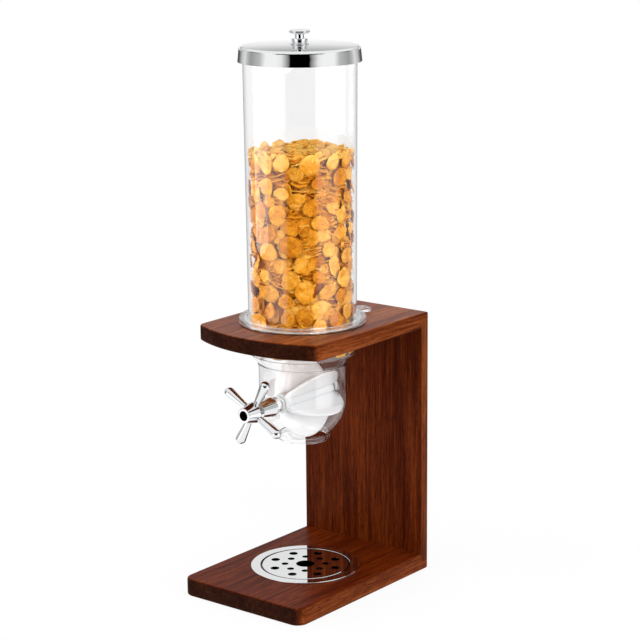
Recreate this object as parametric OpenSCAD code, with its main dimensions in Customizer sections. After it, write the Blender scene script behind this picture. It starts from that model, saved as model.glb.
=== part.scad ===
// Gravity bulk food bin on a C-shaped wooden stand.
// Origin: centre of the base board's outline, on the surface that the feet stand on.
// +X is the object's right, -Y is the front with the cross handle, +Z is up.

/* [Stand] */
// Width of all three boards
stand_w = 190; // [170:1:240]
// Depth of the base board, front to back
base_d = 265; // [255:1:320]
// Height of the shelf's top over the base board's underside
stand_h = 342.5; // [320:0.5:420]
// Thickness of the base board
base_t = 22.5; // [20:0.5:26]
// Thickness of the shelf
shelf_t = 20; // [18:0.5:24]
// Thickness of the upright back panel
panel_t = 15; // [12:0.5:20]
// Depth of the rebates that the panel's ends sit in
lap_h = 10; // [7:0.5:12]
// Length of the shelf's straight side edges
shelf_side_d = 223; // [205:1:230]
// How far the shelf's bowed front stands out in the middle
shelf_bow = 25.5; // [16:0.5:34]
// Radius of the base board's front corners, seen from above
base_corner_r = 15; // [6:0.5:20]
// Radius of the shelf's front corners, seen from above
shelf_corner_r = 12; // [6:0.5:16]
// Rounding of the boards' edges
edge_r = 2.5; // [1:0.25:4]
// Thickness of the rubber feet
foot_t = 1.5; // [1:0.25:5]
// Radius of the rubber feet
foot_r = 10; // [7:0.5:13]
// Distance of each foot's centre from the base board's edges
foot_inset = 24; // [18:1:30]

/* [Joinery] */
// Radius of the holes for the dowels between panel and shelf
dowel_r = 4; // [3:0.25:5]
// Clearance round the dowels
dowel_fit = 0.05; // [0.02:0.01:0.1]
// Length of each dowel inside the panel
dowel_in_panel = 22; // [15:1:30]
// Length of each dowel inside the shelf
dowel_in_shelf = 7; // [5:0.5:8]
// Distance from one dowel or screw to the next
joinery_pitch = 64; // [50:1:70]
// Shank radius of the screws through the base board
screw_r = 2.25; // [1.75:0.25:3]
// Head radius of the screws through the base board
screw_head_r = 4.5; // [4:0.25:6]
// Length of the screws inside the panel
screw_in_panel = 28; // [20:1:40]
// Clearance of the screws in the base board
screw_fit = 0.1; // [0.05:0.05:0.3]
// Width of the slots in the screw heads
slot_w = 0.8; // [0.6:0.1:1.2]
// Depth of the slots in the screw heads
slot_h = 1; // [0.8:0.1:1.5]

/* [Crumb dish] */
// Outer radius of the dish's flat rim
dish_rim_r = 69.5; // [66:0.5:74]
// Height that the rim stands over the base board
dish_rim_t = 1.5; // [1.2:0.1:2.5]
// Outer radius of the dish's upper step
dish_well_r = 58; // [57:0.5:60]
// Outer depth of the well below the base board's top
dish_depth = 13; // [10:0.5:14]
// Sheet thickness of the dish
dish_wall = 0.8; // [0.6:0.1:1.2]
// Width of the ledge that carries the perforated plate
dish_ledge_w = 4; // [3:0.25:5]
// Outer radius of the bend round the dish's floor
dish_bend_r = 1.6; // [1.4:0.1:3]
// Rounding of the rim's edges
dish_edge_r = 0.7; // [0.3:0.1:0.8]
// Clearance round the dish in the base board
dish_fit = 0.5; // [0.3:0.1:0.8]

/* [Perforated plate] */
// Thickness of the perforated plate
grille_t = 1.4; // [1:0.1:2]
// Bevel round the plate's upper edge
grille_bevel = 0.4; // [0.2:0.1:0.6]
// Gap between the plate's edge and the dish
grille_gap = 2.2; // [0.6:0.1:2.6]
// Radius of the finger hole in the middle
finger_hole_r = 11.8; // [9:0.1:14]
// Holes in each ring
ring_hole_count = 8; // [6:1:8]
// Radius of the inner ring of holes
inner_ring_r = 26; // [24:0.5:28]
// Radius of the holes in the inner ring
inner_hole_r = 4.5; // [3:0.1:5]
// Radius of the outer ring of holes
outer_ring_r = 41.5; // [39:0.5:44]
// Radius of the holes in the outer ring
outer_hole_r = 5.6; // [4:0.1:6.5]
// Angle of the first inner hole from the right side of the stand
ring_angle = 38; // [0:1:45]

/* [Housing] */
// Distance of the canister's axis in front of the base board's middle
axis_offset = 3.5; // [0:0.5:8]
// Wall thickness of the clear housing
housing_wall = 2.5; // [2:0.1:3]
// Outer radius of the flange that lies on the shelf
flange_r = 79; // [78:0.5:84]
// Thickness of the flange
flange_t = 2; // [1.6:0.1:3]
// Wall thickness of the upstand round the canister's foot
upstand_t = 2; // [1.6:0.1:2.4]
// Clearance of the canister's foot in the upstand
upstand_fit = 0.5; // [0.3:0.05:0.8]
// Outer radius of the collar that hangs in the shelf
collar_r = 66.5; // [65:0.5:68]
// Clearance between the collar and the shelf's hole
collar_fit = 0.8; // [0.4:0.1:1.5]
// Drop from the shelf's top to the lower end of the collar
collar_drop = 38; // [34:0.5:40]
// Height of the cone between the collar and the bowl
cone_h = 13; // [10:0.5:15]
// Outer radius of the bowl
bowl_r = 55.5; // [54:0.5:58]
// Drop from the shaft's axis to the middle of the bowl's round bottom
bowl_sink = 3; // [0:0.5:6]
// How far the step ring under the cone stands out
step_ring_w = 1.2; // [0.9:0.1:2]
// Drop from the shelf's top to the shaft's axis
shaft_drop = 96; // [93:0.5:104]
// Outer radius of the outlet
outlet_r = 32; // [28:0.5:36]
// Drop from the shelf's top to the outlet's lower end
outlet_drop = 150; // [145:0.5:158]
// How far the rim round the outlet stands out
outlet_rim_w = 1; // [0.8:0.1:2.4]
// Height of the step ring and of the outlet's rim
rim_h = 2; // [1.6:0.1:3]
// Rounding of the flange's and the rims' edges
rim_edge_r = 0.6; // [0.3:0.1:0.7]
// How far the bosses round the shaft stand out from the bowl
boss_proud = 6.5; // [1.5:0.25:8]
// Radius of the bosses round the shaft
boss_r = 10.5; // [9.5:0.25:12]

/* [Canister] */
// Length of the canister from its foot to its rim
canister_l = 331; // [280:1:380]
// Outer radius of the canister just above its foot
canister_foot_r = 67.3; // [66.5:0.1:67.5]
// Outer radius of the canister at its rim
canister_rim_r = 69.6; // [68.6:0.1:70]
// Wall thickness of the canister
canister_wall = 3; // [2.4:0.1:3.2]
// Outer radius of the flange at the canister's foot
foot_flange_r = 73; // [72:0.25:73.5]
// Thickness of the flange at the canister's foot
foot_flange_t = 2; // [1.6:0.1:2.6]
// Rounding of the canister's edges
canister_edge_r = 0.7; // [0.3:0.1:0.8]
// Thickness of the flat seal under the canister
seal_t = 1; // [0.8:0.1:1.6]
// Height of the food over the canister's foot
fill_h = 212; // [120:1:240]
// Play between the food and the walls round it
fill_gap = 0.5; // [0.4:0.1:1]
// Radius of the flakes that lie at the canister's wall
flake_r = 12.5; // [9:0.5:14]
// Distance from one row of flakes to the next
flake_pitch = 27; // [24:1:34]
// Flakes in each row
flake_row_count = 12; // [9:1:14]
// How far the flakes lean out of the wall's direction
flake_lean = 16; // [0:1:20]
// Depth of the gaps between the flakes
flake_relief = 5; // [3:0.5:7]

/* [Locking ring] */
// Thickness of the ring's top lip
ring_lip_t = 1.7; // [1.4:0.1:2.4]
// Wall thickness of the ring's skirt
ring_skirt_t = 1.6; // [1.4:0.1:2]
// Gap between the ring's lip and the canister's wall
ring_lip_gap = 2.2; // [1.8:0.1:2.6]
// Rounding of the ring's edges
ring_edge_r = 0.6; // [0.3:0.1:0.7]
// Number of bayonet claws
claw_count = 3; // [3:1:4]
// Angle that each claw and each lug spans
claw_span = 20; // [15:1:22]
// Direction of the ring's lug, from the right side of the stand
lug_angle = 70; // [50:1:80]
// Reach of the lug from the canister's axis
lug_reach = 97; // [92:0.5:99]
// Width of the lug at its end
lug_w = 19; // [17:0.5:22]

/* [Lid] */
// Outer radius of the lid at its upper edge
lid_top_r = 74; // [73.5:0.1:74.5]
// Outer radius of the lid at its lower edge
lid_skirt_r = 75.5; // [75.2:0.1:76.5]
// Height of the lid from the skirt's lower edge to the border round the dome
lid_h = 18.5; // [16:0.5:22]
// Rise of the lid's dome in the middle
lid_dome_h = 1.5; // [1:0.25:4]
// Sheet thickness of the lid
lid_t = 1; // [0.8:0.1:1.2]
// Radius of the round shoulder between the skirt and the top
lid_shoulder_r = 4; // [3:0.25:5]
// Thickness of the lid's seal ring over the canister's rim
lid_seal_t = 6.6; // [5:0.1:8]

/* [Knob] */
// Radius of the knob's cap
knob_cap_r = 12.5; // [11:0.25:15]
// Thickness of the knob's cap
knob_cap_t = 5; // [4:0.25:6]
// Radius of the knob's neck
knob_neck_r = 5.3; // [4.5:0.1:6]
// Length of the knob's neck
knob_neck_l = 5.5; // [4:0.25:9]
// Radius of the knob's collar
knob_collar_r = 9.7; // [8:0.1:10.5]
// Height of the knob's collar
knob_collar_l = 5.5; // [5:0.25:10]
// Radius of the knob's foot
knob_foot_r = 11.2; // [10.8:0.1:12]
// Thickness of the knob's foot
knob_foot_t = 1.5; // [1.2:0.1:3]
// Depth and height of the grooves round the collar
knob_groove = 0.5; // [0.3:0.1:0.6]
// Rounding of the knob's small edges
knob_edge_r = 0.5; // [0.2:0.1:0.7]
// Shank radius of the knob's screw
knob_screw_r = 2; // [1.5:0.1:2.5]
// Length of the screw inside the knob
knob_screw_l = 8; // [6:0.5:12]
// Height of the screw's head
knob_screw_head_h = 2; // [1.6:0.1:3]
// Radius of the washer under the lid
washer_r = 7; // [6:0.25:9]
// Thickness of the washer
washer_t = 1; // [0.6:0.1:1.6]

/* [Paddle wheel] */
// Number of vanes
vane_count = 6; // [5:1:6]
// Radius of the half-disc vanes
vane_r = 51.5; // [48:0.25:52]
// Thickness of each vane at its root
vane_root_t = 5; // [4:0.25:6.5]
// Thickness of each vane at its edge
vane_edge_t = 2.2; // [1.6:0.1:3]
// Direction of the first vane, from straight up towards the right
vane_angle = 46; // [0:1:60]
// Outer radius of the wheel's soft hub
wheel_hub_r = 13; // [12:0.25:14]
// Half the length of the wheel along the shaft
wheel_half_l = 47; // [44:0.5:48]
// Outer radius of the stiff core inside the wheel
core_r = 8.5; // [8:0.1:9]
// How far the core stands out of the wheel at each end
core_proud = 2; // [1:0.25:3]
// Number of the core's drive ribs
core_rib_count = 6; // [4:1:6]
// Height of the core's drive ribs
core_rib_h = 1.5; // [1:0.1:2]
// Width of the core's drive ribs
core_rib_w = 3; // [2:0.25:4]
// Clearance between the core and the soft wheel, and between the shaft and the core
core_fit = 0.1; // [0.05:0.01:0.15]

/* [Shaft and handle] */
// Radius of the shaft
shaft_r = 4; // [3.5:0.05:4.5]
// Radial clearance of the shaft in its bushes
shaft_fit = 0.05; // [0.03:0.01:0.09]
// Wall thickness of the front bush
bush_wall = 2.8; // [2.2:0.1:3.2]
// Radius of the bushes' flanges
bush_flange_r = 9; // [8.5:0.1:9.4]
// Thickness of the bushes' flanges
bush_flange_t = 1.5; // [1.2:0.1:2]
// Thickness of the clip behind the rear bush
clip_t = 1.2; // [0.8:0.1:2]
// Depth of the clip's groove in the shaft
clip_groove_h = 0.7; // [0.4:0.05:1]
// How far the clip stands out from the shaft
clip_w = 3.5; // [2.5:0.25:4.5]
// Length of the shaft's end behind the clip
shaft_end_l = 3; // [2:0.25:5]
// Length of the flared collar behind the handle
collar_l = 26; // [22:0.5:36]
// Radius of the flared collar at the housing
flare_rear_r = 12.5; // [11:0.25:14]
// Radius of the flared collar at the handle
flare_front_r = 8.8; // [8.5:0.1:9.5]
// Depth of the hollow in the collar's wide end
flare_hollow_l = 4; // [2:0.25:6]
// Wall thickness of the collar round that hollow
flare_wall = 1.8; // [1.2:0.1:2.4]
// Length of the handle's hub
hub_l = 26; // [24:0.5:30]
// Largest radius of the handle's hub
hub_r = 13; // [12:0.25:14]
// Length of the hub's barrel, from the collar to where the hub narrows
barrel_l = 11; // [10:0.5:13]
// Radius of the hub at its nose
nose_r = 9.3; // [9:0.1:10.5]
// Radius of the open bore in the nose
nose_bore_r = 6.2; // [5.5:0.1:7]
// Depth of the open bore in the nose
nose_bore_l = 12; // [10:0.5:13]
// Radius of the tapped hole in the shaft's front end
tapped_r = 1.8; // [1.4:0.1:2.2]
// Clearance between the handle's pieces and the shaft
handle_fit = 0.05; // [0.02:0.01:0.1]
// Number of arms on the cross handle
arm_count = 4; // [3:1:4]
// Distance of each arm's ball end from the shaft's axis
arm_reach = 41.5; // [36:0.5:48]
// Distance of the arms' axes from the hub's rear face
arm_setback = 8.5; // [8:0.25:10]
// Radius of each arm where it leaves the hub
arm_root_r = 4; // [3:0.1:4.2]
// Radius of each arm's ball end
arm_ball_r = 6.5; // [5:0.1:7]
// Direction of the first arm, from straight up towards the right
arm_angle = 28.6; // [0:0.1:90]

/* [Hidden] */

// A small overshoot, so that a cut passes clean through a face
over = 1;
// The gap kept between pieces that move on each other
slip = 0.3;
// The gap between small pieces that are screwed or pressed together
seat_gap = 0.05;
// Facet counts: round bodies, small rounds, boards' corners, screws, the shelf's bow and the steps of the lid's dome
$fn = 96;
small_fn = 48;
corner_fn = 64;
screw_fn = 32;
bow_fn = 240;
dome_steps = 12;
// Sides of the driving hexagon
hexagon = 6;

// Levels, all over the table
base_bottom_z = foot_t;
base_top_z = base_bottom_z + base_t;
shelf_top_z = base_bottom_z + stand_h;
shelf_bottom_z = shelf_top_z - shelf_t;
panel_bottom_z = base_top_z - lap_h;
panel_top_z = shelf_bottom_z + lap_h;
shaft_z = shelf_top_z - shaft_drop;
bowl_z = shaft_z - bowl_sink;
collar_bottom_z = shelf_top_z - collar_drop;
cone_bottom_z = collar_bottom_z - cone_h;
outlet_z = shelf_top_z - outlet_drop;
flange_top_z = shelf_top_z + flange_t;
canister_z = flange_top_z + seal_t;
canister_top_z = canister_z + canister_l;
lid_seat_z = canister_top_z + lid_seal_t;
lid_edge_z = lid_seat_z + lid_t;
lid_peak_z = lid_edge_z + lid_dome_h;
lid_shoulder_z = lid_edge_z - lid_shoulder_r;
lid_skirt_z = lid_edge_z - lid_h;
knob_collar_z = lid_peak_z + knob_foot_t;
knob_neck_z = knob_collar_z + knob_collar_l;
knob_cap_z = knob_neck_z + knob_neck_l;
knob_top_z = knob_cap_z + knob_cap_t;
washer_z = lid_peak_z - lid_t - seat_gap - washer_t;

// Places front to back
back_y = base_d / 2;
front_y = -base_d / 2;
panel_front_y = back_y - panel_t;
panel_middle_y = back_y - panel_t / 2;
axis_y = -axis_offset;

// The shelf's outline: a rectangle with a bowed front
shelf_front_side_y = back_y - shelf_side_d;
bow_half_w = stand_w / 2;
bow_r = (bow_half_w * bow_half_w + shelf_bow * shelf_bow) / (2 * shelf_bow);

// The joinery's row, centred on the panel
joinery_xs = [-joinery_pitch, 0, joinery_pitch];

// The dish: a flat rim, a ledge for the plate and a well below it
dish_floor_z = base_top_z - dish_depth;
dish_rim_top_z = base_top_z + dish_rim_t;
ledge_z = dish_rim_top_z - grille_t;
dish_inner_r = dish_well_r - dish_wall;
well_inner_r = dish_inner_r - dish_ledge_w;
well_outer_r = well_inner_r + dish_wall;

// The bayonet between housing and locking ring
upstand_in_r = foot_flange_r + upstand_fit;
upstand_out_r = upstand_in_r + upstand_t;
upstand_top_z = canister_z + foot_flange_t;
ring_out_r = flange_r;
ring_in_r = ring_out_r - ring_skirt_t;
lip_in_r = canister_foot_r + ring_lip_gap;
lip_bottom_z = upstand_top_z + slip;
ring_top_z = lip_bottom_z + ring_lip_t;
ring_bottom_z = flange_top_z + slip;
claw_t = (upstand_top_z - ring_bottom_z - slip) / 2;
claw_in_r = upstand_out_r + slip;
lug_out_r = ring_in_r - slip;

// Distances along the shaft, forwards from the canister's axis
boss_l = bowl_r + boss_proud;
bush_face_l = boss_l + bush_flange_t;
collar_start = bush_face_l + slip;
hub_start = collar_start + collar_l;
nose_l = hub_start + hub_l;
shaft_front_l = nose_l - nose_bore_l;
arm_plane_l = hub_start + arm_setback;
clip_start = bush_face_l + slip;
clip_end = clip_start + clip_t;
shaft_rear_l = clip_end + shaft_end_l;
core_half_l = wheel_half_l + core_proud;
hexagon_half_l = core_half_l + slip;

// Radii round the shaft: the rear journal passes through the core's six-sided bore
bush_hole_r = shaft_r + shaft_fit + bush_wall;
rear_journal_r = shaft_r * cos(180 / hexagon) - core_fit;
clip_groove_r = rear_journal_r - clip_groove_h;
socket_floor = shaft_r + 3.5;
spigot_r = arm_root_r - 0.6;

function arc(middle, radius, start, end, steps = 4) =
    // Points along an arc; its angles run from the direction away from the axis
    [for (step = [0:steps])
        let (angle = start + (end - start) * step / steps)
            [middle.x + radius * cos(angle), middle.y + radius * sin(angle)]];

module disc_section(radius, bottom_z, height, edge) {
    // Half section of a disc with rounded outer edges
    polygon(concat([[0, bottom_z]],
        arc([radius - edge, bottom_z + edge], edge, -90, 0),
        arc([radius - edge, bottom_z + height - edge], edge, 0, 90),
        [[0, bottom_z + height]]));
}

module revolve() {
    // Turns a half section about the canister's axis
    translate([0, axis_y, 0])
        rotate_extrude()
            children();
}

module tube_y(radius, start, end, facets = $fn) {
    // A rod along the shaft's axis; distances run forwards from the canister's axis
    translate([0, axis_y - start, shaft_z])
        rotate([90, 0, 0])
            cylinder(r = radius, h = end - start, $fn = facets);
}

module revolve_y(start) {
    // Turns a profile of [radius, distance forwards] about the shaft's axis
    translate([0, axis_y - start, shaft_z])
        rotate([90, 0, 0])
            rotate_extrude()
                children();
}

module rounded_slab(height, radius) {
    // One convex board with its upper and lower edges rounded; its outline is the child
    steps = 3;
    hull()
        for (step = [0:steps]) {
            lean = 90 * step / steps;
            inset = radius * (1 - cos(lean));
            drop = radius * (1 - sin(lean));
            translate([0, 0, drop])
                linear_extrude(height - 2 * drop)
                    offset(delta = -inset)
                        children();
        }
}

module rounded(radius) {
    // Rounds the corners of a flat outline
    offset(r = radius, $fn = corner_fn)
        offset(delta = -radius)
            children();
}

module base_outline() {
    // Wide corners at the front, small ones at the back
    rounded(base_corner_r)
        translate([-stand_w / 2, front_y])
            square([stand_w, base_d - panel_t]);
    rounded(edge_r)
        translate([-stand_w / 2, 0])
            square([stand_w, back_y]);
}

module shelf_outline() {
    // A bowed front between two rounded corners, small corners at the back
    rounded(shelf_corner_r)
        intersection() {
            translate([0, shelf_front_side_y - shelf_bow + bow_r])
                circle(bow_r, $fn = bow_fn);
            translate([-stand_w / 2, shelf_front_side_y - shelf_bow])
                square([stand_w, shelf_side_d + shelf_bow - panel_t]);
        }
    rounded(edge_r)
        translate([-stand_w / 2, 0])
            square([stand_w, back_y]);
}

module panel_rebate(z, height) {
    // What is cut from a board to seat the panel's end
    translate([-stand_w / 2 - over, panel_front_y, z])
        cube([stand_w + 2 * over, panel_t + over, height]);
}

module base_board() {
    color([0.36, 0.16, 0.08])
        difference() {
            translate([0, 0, base_bottom_z])
                rounded_slab(base_t, edge_r)
                    base_outline();
            panel_rebate(panel_bottom_z, base_t);
            translate([0, axis_y, base_top_z - dish_depth - dish_fit])
                cylinder(r = dish_well_r + dish_fit, h = dish_depth + dish_fit + over);
            for (x = joinery_xs)
                base_screw_shape(x, screw_fit);
        }
}

module back_panel() {
    color([0.31, 0.13, 0.07])
        difference() {
            translate([0, 0, panel_bottom_z])
                linear_extrude(panel_top_z - panel_bottom_z)
                    panel_outline();
            for (x = joinery_xs) {
                translate([x, panel_middle_y, panel_top_z - dowel_in_panel - slip])
                    cylinder(r = dowel_r, h = dowel_in_panel + slip + over);
                base_screw_shape(x, 0);
            }
        }
}

module panel_outline() {
    // Square at the front, with rounded corners at the back
    translate([-stand_w / 2, panel_front_y])
        square([stand_w, panel_t - edge_r]);
    translate([-stand_w / 2 + edge_r, panel_front_y])
        square([stand_w - 2 * edge_r, panel_t]);
    for (side = [-1, 1])
        translate([side * (stand_w / 2 - edge_r), back_y - edge_r])
            circle(edge_r, $fn = screw_fn);
}

module top_shelf() {
    color([0.40, 0.19, 0.10])
        difference() {
            translate([0, 0, shelf_bottom_z])
                rounded_slab(shelf_t, edge_r)
                    shelf_outline();
            panel_rebate(shelf_bottom_z - over, lap_h + over);
            translate([0, axis_y, shelf_bottom_z - over])
                cylinder(r = collar_r + collar_fit, h = shelf_t + 2 * over);
            for (x = joinery_xs)
                translate([x, panel_middle_y, panel_top_z - over])
                    cylinder(r = dowel_r, h = dowel_in_shelf + slip + over);
        }
}

module shelf_dowels() {
    color([0.72, 0.52, 0.33])
        for (x = joinery_xs)
            translate([x, panel_middle_y, panel_top_z - dowel_in_panel])
                cylinder(r = dowel_r - dowel_fit, h = dowel_in_panel + dowel_in_shelf);
}

module base_screw_shape(x, grow) {
    // A countersunk screw from below; grow widens it into its clearance hole
    translate([x, panel_middle_y, base_bottom_z - grow]) {
        cylinder(r1 = screw_head_r + grow, r2 = screw_r + grow, h = screw_head_r - screw_r + grow);
        cylinder(r = screw_r + grow, h = base_t - lap_h + screw_in_panel + grow);
    }
}

module base_screws() {
    color([0.75, 0.75, 0.77])
        for (x = joinery_xs)
            difference() {
                base_screw_shape(x, 0);
                translate([x, panel_middle_y, base_bottom_z - over])
                    for (turn = [0, 90])
                        rotate([0, 0, turn])
                            translate([-screw_head_r / 2, -slot_w / 2, 0])
                                cube([screw_head_r, slot_w, over + slot_h]);
            }
}

module rubber_feet() {
    // Four round pads, a little narrower where they stand
    color([0.08, 0.08, 0.08])
        for (x = [-1, 1], y = [-1, 1])
            translate([x * (stand_w / 2 - foot_inset), y * (base_d / 2 - foot_inset), 0])
                cylinder(r1 = foot_r - foot_t / 4, r2 = foot_r, h = foot_t);
}

module tray_dish() {
    // Bent from one sheet: floor, well, ledge and flat rim
    bend = [well_outer_r - dish_bend_r, dish_floor_z + dish_bend_r];
    rim_low_z = dish_rim_top_z - dish_edge_r;
    color([0.86, 0.87, 0.88])
        revolve()
            polygon(concat(
                [[0, dish_floor_z]],
                arc(bend, dish_bend_r, -90, 0),
                [[well_outer_r, ledge_z - dish_wall], [dish_well_r, ledge_z - dish_wall],
                [dish_well_r, base_top_z], [dish_rim_r, base_top_z]],
                arc([dish_rim_r - dish_edge_r, rim_low_z], dish_edge_r, 0, 90),
                arc([dish_inner_r + dish_edge_r, rim_low_z], dish_edge_r, 90, 180),
                [[dish_inner_r, ledge_z], [well_inner_r, ledge_z]],
                arc(bend, dish_bend_r - dish_wall, 0, -90),
                [[0, dish_floor_z + dish_wall]]));
}

module hole_ring(ring_r, hole_r, start) {
    for (index = [0:ring_hole_count - 1])
        rotate([0, 0, start + index * 360 / ring_hole_count])
            translate([ring_r, 0, 0])
                cylinder(r = hole_r, h = grille_t + 2 * over, $fn = small_fn);
}

module tray_grille() {
    plate_r = dish_inner_r - grille_gap;
    color([0.80, 0.81, 0.83])
        translate([0, axis_y, ledge_z])
            difference() {
                union() {
                    cylinder(r = plate_r, h = grille_t - grille_bevel);
                    translate([0, 0, grille_t - grille_bevel])
                        cylinder(r1 = plate_r, r2 = plate_r - grille_bevel, h = grille_bevel);
                }
                translate([0, 0, -over]) {
                    cylinder(r = finger_hole_r, h = grille_t + 2 * over);
                    hole_ring(inner_ring_r, inner_hole_r, ring_angle);
                    hole_ring(outer_ring_r, outer_hole_r, ring_angle + 180 / ring_hole_count);
                }
            }
}

module housing_profile(grow) {
    // Half section of the housing's inside, or of its outside when grown by the wall
    collar_in_r = collar_r - housing_wall + grow;
    bowl_in_r = bowl_r - housing_wall + grow;
    translate([0, collar_bottom_z])
        square([collar_in_r, shelf_top_z - collar_bottom_z + flange_t / 2]);
    polygon([[0, cone_bottom_z], [bowl_in_r, cone_bottom_z], [collar_in_r, collar_bottom_z],
        [0, collar_bottom_z]]);
    translate([0, bowl_z])
        square([bowl_in_r, cone_bottom_z - bowl_z]);
    intersection() {
        translate([0, bowl_z])
            circle(bowl_in_r);
        translate([0, outlet_z])
            square([bowl_in_r + over, bowl_z - outlet_z]);
    }
    translate([0, outlet_z])
        square([outlet_r - housing_wall + grow, bowl_in_r]);
}

module dispenser_housing() {
    // Collar, cone, bowl and outlet in one moulding, with its flange, rims and bosses
    boss_root_l = bowl_r - housing_wall - 5;
    color([0.85, 0.90, 0.93, 0.35])
        difference() {
            union() {
                revolve() {
                    housing_profile(housing_wall);
                    disc_section(flange_r, shelf_top_z, flange_t, rim_edge_r);
                    disc_section(bowl_r + step_ring_w, cone_bottom_z - rim_h, rim_h, rim_edge_r);
                    disc_section(outlet_r + outlet_rim_w, outlet_z, rim_h, rim_edge_r);
                    // the upstand round the canister's foot
                    translate([0, shelf_top_z])
                        square([upstand_out_r, upstand_top_z - shelf_top_z]);
                }
                tube_y(boss_r, boss_root_l, boss_l);
                tube_y(boss_r, -boss_l, -boss_root_l);
                bayonet_lugs();
            }
            revolve() {
                housing_profile(0);
                translate([0, flange_top_z])
                    square([upstand_in_r, upstand_top_z]);
                translate([0, shelf_top_z])
                    square([collar_r - housing_wall, upstand_top_z]);
                translate([0, outlet_z - over])
                    square([outlet_r - housing_wall, 2 * over]);
            }
            tube_y(bush_hole_r, -boss_l - over, boss_l + over);
        }
}

module arc_sector(inner_r, outer_r, bottom_z, height, middle, span) {
    // A stretch of a ring round the canister's axis
    translate([0, axis_y, bottom_z])
        rotate([0, 0, middle - span / 2])
            rotate_extrude(angle = span)
                translate([inner_r, 0])
                    square([outer_r - inner_r, height]);
}

module bayonet_lugs() {
    // The housing's lugs, which the ring's claws turn under
    root = upstand_t / 4;
    for (index = [0:claw_count - 1])
        arc_sector(upstand_out_r - root, lug_out_r, upstand_top_z - claw_t, claw_t,
            lug_angle + index * 360 / claw_count, claw_span);
}

module lock_ring() {
    // A cap ring with claws inside its skirt and one lug to turn it by
    claw_root = ring_skirt_t / 3;
    top_edge_z = ring_top_z - ring_edge_r;
    color([0.88, 0.92, 0.94, 0.45]) {
        revolve()
            polygon(concat(
                [[ring_in_r, ring_bottom_z], [ring_out_r, ring_bottom_z]],
                arc([ring_out_r - ring_edge_r, top_edge_z], ring_edge_r, 0, 90),
                arc([lip_in_r + ring_edge_r, top_edge_z], ring_edge_r, 90, 180),
                [[lip_in_r, lip_bottom_z], [ring_in_r, lip_bottom_z]]));
        for (index = [0:claw_count - 1])
            arc_sector(claw_in_r, ring_in_r + claw_root, ring_bottom_z, claw_t,
                lug_angle + index * 360 / claw_count, claw_span);
        ring_lug();
    }
}

module ring_lug() {
    // A flat lug with a scalloped end
    lug_root_r = ring_out_r - ring_skirt_t / 2;
    lug_end_r = lug_reach - lug_w / 6;
    scallop_r = lug_w / 10;
    translate([0, axis_y, ring_bottom_z])
        rotate([0, 0, lug_angle])
            difference() {
                union() {
                    translate([lug_root_r, -lug_w / 2, 0])
                        cube([lug_end_r - lug_root_r, lug_w, ring_top_z - ring_bottom_z]);
                    for (side = [-1, 0, 1])
                        translate([lug_end_r, side * lug_w / 3, 0])
                            cylinder(r = lug_w / 6, h = ring_top_z - ring_bottom_z, $fn = screw_fn);
                }
                for (side = [-1, 1])
                    translate([lug_end_r + scallop_r, side * lug_w / 6, -over])
                        cylinder(r = scallop_r, h = ring_top_z, $fn = screw_fn);
            }
}

module canister_tube() {
    // A tapered tube with a flange round its foot and a rounded rim
    foot_edge_z = canister_z + foot_flange_t - canister_edge_r;
    rim_edge_z = canister_top_z - canister_edge_r;
    color([0.90, 0.93, 0.95, 0.30])
        revolve()
            polygon(concat(
                [[canister_foot_r - canister_wall, canister_z], [foot_flange_r, canister_z]],
                arc([foot_flange_r - canister_edge_r, foot_edge_z], canister_edge_r, 0, 90),
                [[canister_foot_r, canister_z + foot_flange_t]],
                arc([canister_rim_r - canister_edge_r, rim_edge_z], canister_edge_r, 0, 90),
                arc([canister_rim_r - canister_wall + canister_edge_r, rim_edge_z],
                    canister_edge_r, 90, 180)));
}

module canister_seal() {
    color([0.95, 0.95, 0.93])
        translate([0, axis_y, flange_top_z])
            difference() {
                cylinder(r = foot_flange_r, h = seal_t);
                translate([0, 0, -over])
                    cylinder(r = canister_foot_r - canister_wall, h = seal_t + 2 * over);
            }
}

function canister_inner_r(height) =
    // The canister's inner radius at a height over its foot
    canister_foot_r - canister_wall + (canister_rim_r - canister_foot_r) * height / canister_l;

module fill_flake(row, place) {
    // One flake near the wall; the leans follow from its row and its place in the row
    sides = 9;
    turn = 360 * (place + row / 2) / flake_row_count;
    side_lean = flake_lean * sin(137.5 * (place + row * flake_row_count));
    up_lean = flake_lean * cos(222.5 * (place + row * flake_row_count));
    reach = flake_r * sin(flake_lean) + flake_r * flake_r / (2 * canister_inner_r(0));
    face_r = canister_inner_r(0) - fill_gap - reach;
    rotate([0, 0, turn])
        translate([face_r, 0, 0])
            rotate([0, 90 + up_lean, side_lean])
                translate([0, 0, -flake_relief])
                    cylinder(r = flake_r, h = flake_relief, $fn = sides);
}

module cereal_fill() {
    // The food as one closed body with a relief of flakes; it stands in the canister and the collar
    bottom_z = collar_bottom_z + 2;
    shoulder_h = fill_h - 6;
    crown_h = 4;
    low_r = min(collar_r - housing_wall, canister_inner_r(0)) - fill_gap - flake_relief;
    row_count = floor((canister_z + shoulder_h - bottom_z) / flake_pitch);
    first_z = bottom_z + flake_r + over;
    color([0.90, 0.62, 0.22])
        union() {
            revolve()
                polygon([
                    [0, bottom_z], [low_r, bottom_z],
                    [canister_inner_r(shoulder_h) - fill_gap - flake_relief, canister_z + shoulder_h],
                    [low_r - crown_h * 2, canister_z + fill_h - crown_h / 4],
                    [0, canister_z + fill_h]]);
            for (row = [0:row_count - 1], place = [0:flake_row_count - 1])
                translate([0, axis_y, first_z + row * flake_pitch])
                    fill_flake(row, place);
        }
}

function lid_dome(peak_z, half_w) =
    // Points along the dome's section, from its border to the middle
    let (border_r = lid_top_r - lid_shoulder_r,
        ball_r = (border_r * border_r + lid_dome_h * lid_dome_h) / (2 * lid_dome_h))
            arc([0, peak_z - ball_r], ball_r, acos(half_w / ball_r), 90, dome_steps);

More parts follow.
